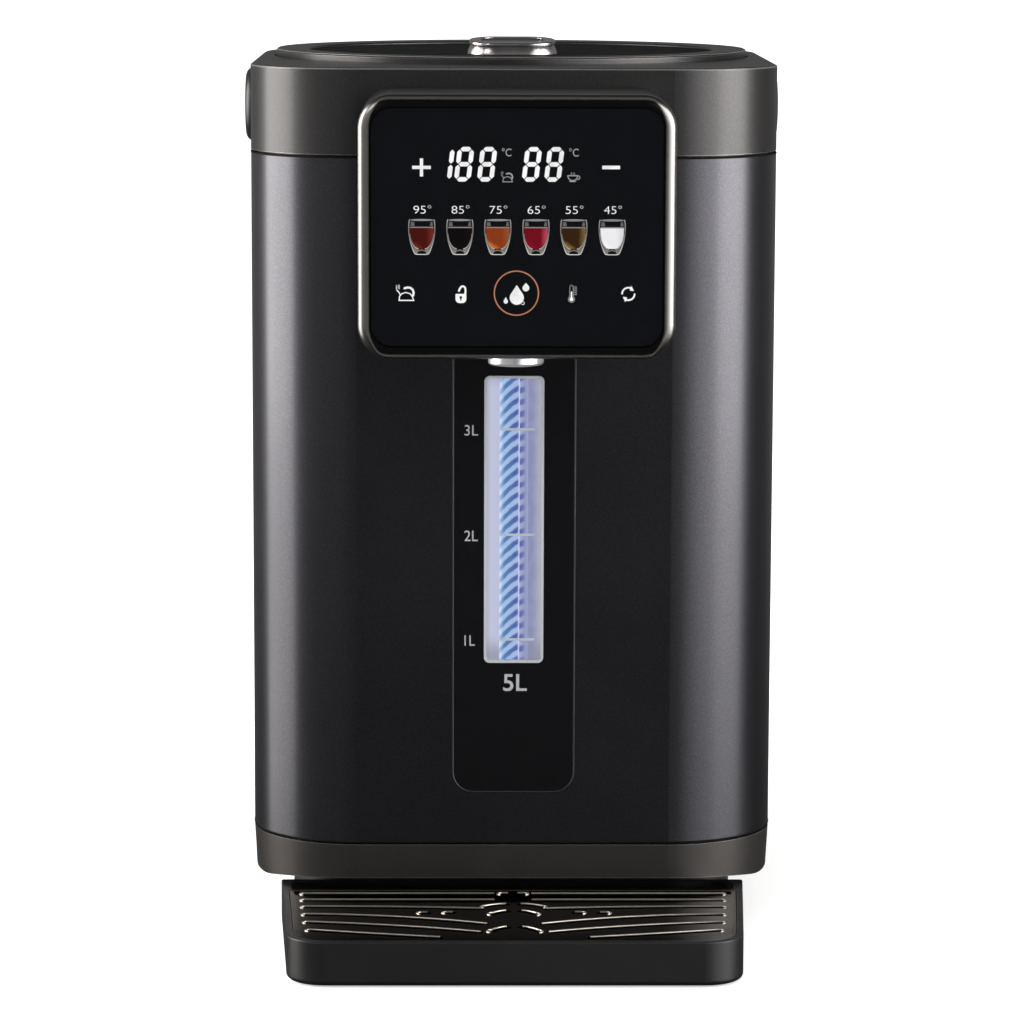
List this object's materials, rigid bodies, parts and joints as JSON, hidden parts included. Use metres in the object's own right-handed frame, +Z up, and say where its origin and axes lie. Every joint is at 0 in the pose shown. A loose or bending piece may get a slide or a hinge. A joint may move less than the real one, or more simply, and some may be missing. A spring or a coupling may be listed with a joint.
{
  "type": "electric thermo pot",
  "caption": "Electric thermo pot with a hinged lid, overhanging touch panel head, level window, carrying handle and pull-out drip tray with a slotted grille.",
  "frame": {"origin": "on the table, at the middle of the space that the closed pot takes up in plan", "axes": "+X to the right as seen from the front, -Y out of the front where the head and tray are, +Z up"},
  "size_m": [0.2164, 0.3238, 0.345],
  "materials": {
    "dark_plastic": "fine matt moulded plastic",
    "foot_rubber": "matt rubber",
    "screw_steel": "zinc plated",
    "gunmetal_satin": "satin warm gunmetal lacquer",
    "midnight_lacquer": "semi-gloss blue-black metallic lacquer",
    "gloss_black": "high gloss black",
    "silver_trim": "satin silver",
    "clear_lens": "clear polished",
    "clear_tube": "clear polished",
    "white_plastic": "white moulded plastic",
    "seal_silicone": "translucent silicone",
    "stripe_print": "printed blue and white stripes",
    "board_white": "white solder mask",
    "bezel_metal": "satin metal",
    "black_glass": "polished black glass",
    "circuit_board": "green solder mask",
    "hose_silicone": "milky silicone",
    "chrome_trim": "polished chrome",
    "pot_steel": "brushed stainless steel",
    "felt_wrap": "grey needle felt",
    "heater_foil": "foil and mica",
    "heater_cast": "cast aluminium",
    "sensor_metal": "bright metal",
    "motor_can": "zinc plated can",
    "board_parts_black": "black component cases",
    "matt_black": "fine matt black",
    "button_black": "smoked gloss",
    "spring_steel": "drawn steel",
    "tray_satin": "satin dark grey plastic",
    "black_chrome": "black chrome plate"
  },
  "bodies": {
    "pot": {"plinth": "dark_plastic", "bottom_cover": "dark_plastic", "rubber_feet": "foot_rubber", "case_screws": "screw_steel", "base_band": "gunmetal_satin", "body_shell": "midnight_lacquer", "upper_collar": "gunmetal_satin", "front_plate": "gloss_black", "window_frame": "silver_trim", "window_lens": "clear_lens", "light_box": "white_plastic", "level_tube": "clear_tube", "tube_seals": "seal_silicone", "stripe_strip": "stripe_print", "led_strip": "board_white", "head_housing": "gunmetal_satin", "head_bezel": "bezel_metal", "touch_glass": "black_glass", "display_board": "circuit_board", "spout_pipe": "hose_silicone", "nozzle": "chrome_trim", "nozzle_tip": "seal_silicone", "inner_pot": "pot_steel", "pot_gasket": "seal_silicone", "insulation_jacket": "felt_wrap", "keep_warm_heater": "heater_foil", "boil_heater": "heater_cast", "thermostat": "sensor_metal", "thermal_fuse": "sensor_metal", "temperature_sensor": "sensor_metal", "pump_housing": "white_plastic", "pump_motor": "motor_can", "inlet_hose": "hose_silicone", "outlet_hose": "hose_silicone", "power_board": "circuit_board", "board_parts": "board_parts_black", "board_posts": "white_plastic", "power_inlet": "dark_plastic", "hinge_pin": "spring_steel", "hinge_bracket": "dark_plastic", "handle_pins": "spring_steel"},
    "lid": {"lid_frame": "gunmetal_satin", "lid_inlay": "matt_black", "steam_vent": "matt_black", "lid_underside": "pot_steel", "lid_gasket": "seal_silicone", "button_spring": "spring_steel"},
    "button": {"lid_button": "chrome_trim", "button_inlay": "button_black"},
    "latch": {"lid_latch": "white_plastic"},
    "handle": {"handle_bail": "gloss_black"},
    "tray": {"drip_tray": "tray_satin"},
    "grille": {"drip_grille": "black_chrome"},
    "impeller": {"pump_impeller": "white_plastic"}
  },
  "joints": [
    {"name": "lid_hinge", "type": "hinge", "parent": "pot", "child": "lid", "pos_m": [0, 0.14635, 0.3362], "axis": [-1, 0, 0], "range_deg": [0, 95]},
    {"name": "button_press", "type": "slide", "parent": "lid", "child": "button", "axis": [0, 0, -1], "range_m": [0, 0.003], "stiffness_N_per_m": 500, "springref_m": -0.002, "deforming": ["button_spring"]},
    {"name": "latch_slide", "type": "slide", "parent": "lid", "child": "latch", "axis": [0, 1, 0], "range_m": [0, 0.003]},
    {"name": "handle_swing", "type": "hinge", "parent": "pot", "child": "handle", "pos_m": [0, 0.04015, 0.317], "axis": [-1, 0, 0], "range_deg": [-95, 0]},
    {"name": "tray_pull", "type": "slide", "parent": "pot", "child": "tray", "axis": [0, -1, 0], "range_m": [0, 0.11]},
    {"name": "grille_lift", "type": "slide", "parent": "tray", "child": "grille", "axis": [0, 0, 1], "range_m": [0, 0.04]},
    {"name": "impeller_spin", "type": "hinge", "parent": "pot", "child": "impeller", "pos_m": [0, -0.02435, 0.05], "axis": [0, 0, 1], "continuous": true}
  ],
  "couplings": [
    {"joint": "latch_slide", "follows": "button_press", "ratio": 1}
  ]
}
